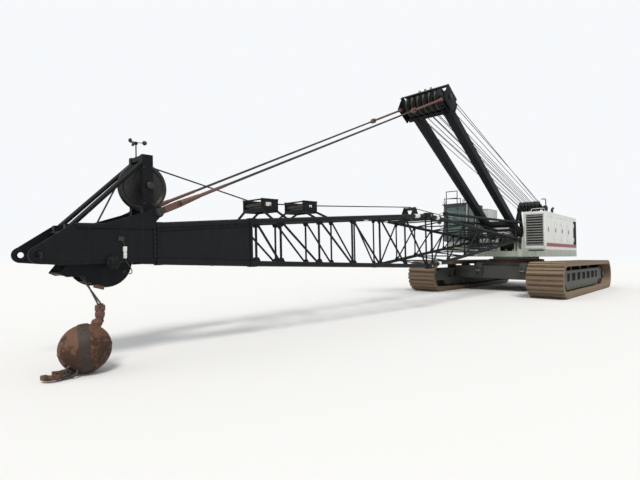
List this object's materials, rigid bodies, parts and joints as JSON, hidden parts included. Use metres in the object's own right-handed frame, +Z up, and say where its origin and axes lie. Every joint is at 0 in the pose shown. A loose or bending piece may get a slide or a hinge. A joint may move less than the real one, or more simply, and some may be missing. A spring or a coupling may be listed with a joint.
{
  "type": "crawler crane with lattice boom",
  "caption": "Crawler crane with its lattice boom laid almost level, live mast with pendants, engine house with doors, glazed cab and a hook ball resting on the ground.",
  "frame": {"origin": "on the ground below the middle of the whole crane, from the rear of the tracks to the boom nose", "axes": "+X towards the boom nose, +Y to the operator's left, +Z up"},
  "size_m": [23.2207, 5.882, 6.7349],
  "materials": {
    "iron_paint": "semi-gloss",
    "white_paint": "semi-gloss",
    "green_paint": "semi-gloss",
    "rusty_steel": "matte",
    "greased_steel": "satin",
    "tinted_glass": "gloss",
    "seat_fabric": "matte",
    "cast_weight": "satin"
  },
  "bodies": {
    "undercarriage": {"carbody": "green_paint", "slew_ring": "greased_steel", "crawler_frame_left": "green_paint", "crawler_frame_right": "green_paint", "track_left": "rusty_steel", "track_right": "rusty_steel", "running_gear_left": "greased_steel", "running_gear_right": "greased_steel"},
    "upper": {"deck": "green_paint", "engine_house": "white_paint", "louvre_panel": "white_paint", "engine": "greased_steel", "roof_fittings": "greased_steel", "machine_house": "white_paint", "cab_shell": "white_paint", "cab_glass": "tinted_glass", "operator_seat": "seat_fabric", "counterweight": "cast_weight", "gantry": "iron_paint", "drum_stands": "green_paint"},
    "engine_door_1": {"engine_door_1": "white_paint"},
    "engine_door_2": {"engine_door_2": "white_paint"},
    "engine_door_3": {"engine_door_3": "white_paint"},
    "engine_door_4": {"engine_door_4": "white_paint"},
    "cab_door": {"cab_door": "white_paint", "cab_door_glass": "tinted_glass"},
    "drum_front": {"drum_front": "iron_paint"},
    "drum_rear": {"drum_rear": "iron_paint"},
    "drum_boom_hoist": {"drum_boom_hoist": "iron_paint"},
    "mast": {"mast": "iron_paint"},
    "mast_sheaves": {"mast_sheaves": "greased_steel"},
    "pendants": {"pendants": "rusty_steel"},
    "bail": {"bail": "iron_paint"},
    "bail_sheaves": {"bail_sheaves": "greased_steel"},
    "boom": {"boom_base": "iron_paint", "boom_top": "iron_paint", "boom_head": "iron_paint", "head_strut": "iron_paint", "guide_rollers": "greased_steel"},
    "boom_stops": {"boom_stops": "iron_paint"},
    "deflector_sheave": {"deflector_sheave": "greased_steel"},
    "point_sheaves": {"point_sheaves": "greased_steel"},
    "hook": {"hook_ball": "rusty_steel", "hook_rope": "greased_steel"}
  },
  "joints": [
    {"name": "slew", "type": "hinge", "parent": "undercarriage", "child": "upper", "pos_m": [-7.21839, 0, 1.265], "axis": [0, 0, 1], "continuous": true},
    {"name": "luff", "type": "hinge", "parent": "upper", "child": "boom", "pos_m": [-5.21839, 0, 2.13], "axis": [0, -1, 0], "range_deg": [0, 80]},
    {"name": "mast_lift", "type": "hinge", "parent": "upper", "child": "mast", "pos_m": [-6.11839, 0, 2.3], "axis": [0, -1, 0], "range_deg": [0, 84]},
    {"name": "pendant_turn", "type": "hinge", "parent": "mast", "child": "pendants", "pos_m": [0.88934, 0, 6.36224], "axis": [0, -1, 0], "range_deg": [-12, 0]},
    {"name": "bail_turn", "type": "hinge", "parent": "upper", "child": "bail", "pos_m": [-9.71839, 0, 3.8], "axis": [0, -1, 0], "range_deg": [0, 74]},
    {"name": "stop_turn", "type": "hinge", "parent": "boom", "child": "boom_stops", "pos_m": [1.13279, 0, 2.74986], "axis": [0, -1, 0], "range_deg": [-25, 0]},
    {"name": "hook_turn", "type": "hinge", "parent": "boom", "child": "hook", "pos_m": [10.61192, 0, 1.40005], "axis": [0, -1, 0], "range_deg": [-80, 0]},
    {"name": "drum_front_spin", "type": "hinge", "parent": "upper", "child": "drum_front", "pos_m": [-6.91839, 0, 2.13], "axis": [0, 1, 0], "continuous": true},
    {"name": "drum_rear_spin", "type": "hinge", "parent": "upper", "child": "drum_rear", "pos_m": [-7.77839, 0, 2.13], "axis": [0, 1, 0], "continuous": true},
    {"name": "drum_boom_hoist_spin", "type": "hinge", "parent": "upper", "child": "drum_boom_hoist", "pos_m": [-8.65839, 0, 2.08], "axis": [0, 1, 0], "continuous": true},
    {"name": "mast_sheave_spin", "type": "hinge", "parent": "mast", "child": "mast_sheaves", "pos_m": [0.88934, 0, 6.36224], "axis": [0, 1, 0], "continuous": true},
    {"name": "bail_sheave_spin", "type": "hinge", "parent": "bail", "child": "bail_sheaves", "pos_m": [-9.31013, 0, 3.89861], "axis": [0, 1, 0], "continuous": true},
    {"name": "deflector_spin", "type": "hinge", "parent": "boom", "child": "deflector_sheave", "pos_m": [9.99165, 0, 2.57997], "axis": [0, 1, 0], "continuous": true},
    {"name": "point_sheave_spin", "type": "hinge", "parent": "boom", "child": "point_sheaves", "pos_m": [10.61192, 0, 1.40005], "axis": [0, 1, 0], "continuous": true},
    {"name": "engine_door_1_hinge", "type": "hinge", "parent": "upper", "child": "engine_door_1", "pos_m": [-10.29239, 1.672, 2.6], "axis": [0, 0, 1], "range_deg": [0, 90]},
    {"name": "engine_door_2_hinge", "type": "hinge", "parent": "upper", "child": "engine_door_2", "pos_m": [-9.20989, 1.672, 2.6], "axis": [0, 0, 1], "range_deg": [0, 90]},
    {"name": "engine_door_3_hinge", "type": "hinge", "parent": "upper", "child": "engine_door_3", "pos_m": [-8.12739, 1.672, 2.6], "axis": [0, 0, 1], "range_deg": [0, 90]},
    {"name": "engine_door_4_hinge", "type": "hinge", "parent": "upper", "child": "engine_door_4", "pos_m": [-7.04489, 1.672, 2.6], "axis": [0, 0, 1], "range_deg": [0, 90]},
    {"name": "cab_door_hinge", "type": "hinge", "parent": "upper", "child": "cab_door", "pos_m": [-5.41239, -2.072, 2.88], "axis": [0, 0, -1], "range_deg": [0, 90]}
  ],
  "couplings": [
    {"joint": "mast_lift", "follows": "luff", "ratio": 1.0447},
    {"joint": "pendant_turn", "follows": "luff", "ratio": -0.1409},
    {"joint": "bail_turn", "follows": "luff", "ratio": 0.913},
    {"joint": "stop_turn", "follows": "luff", "ratio": -0.3106},
    {"joint": "hook_turn", "follows": "luff", "ratio": -1}
  ]
}
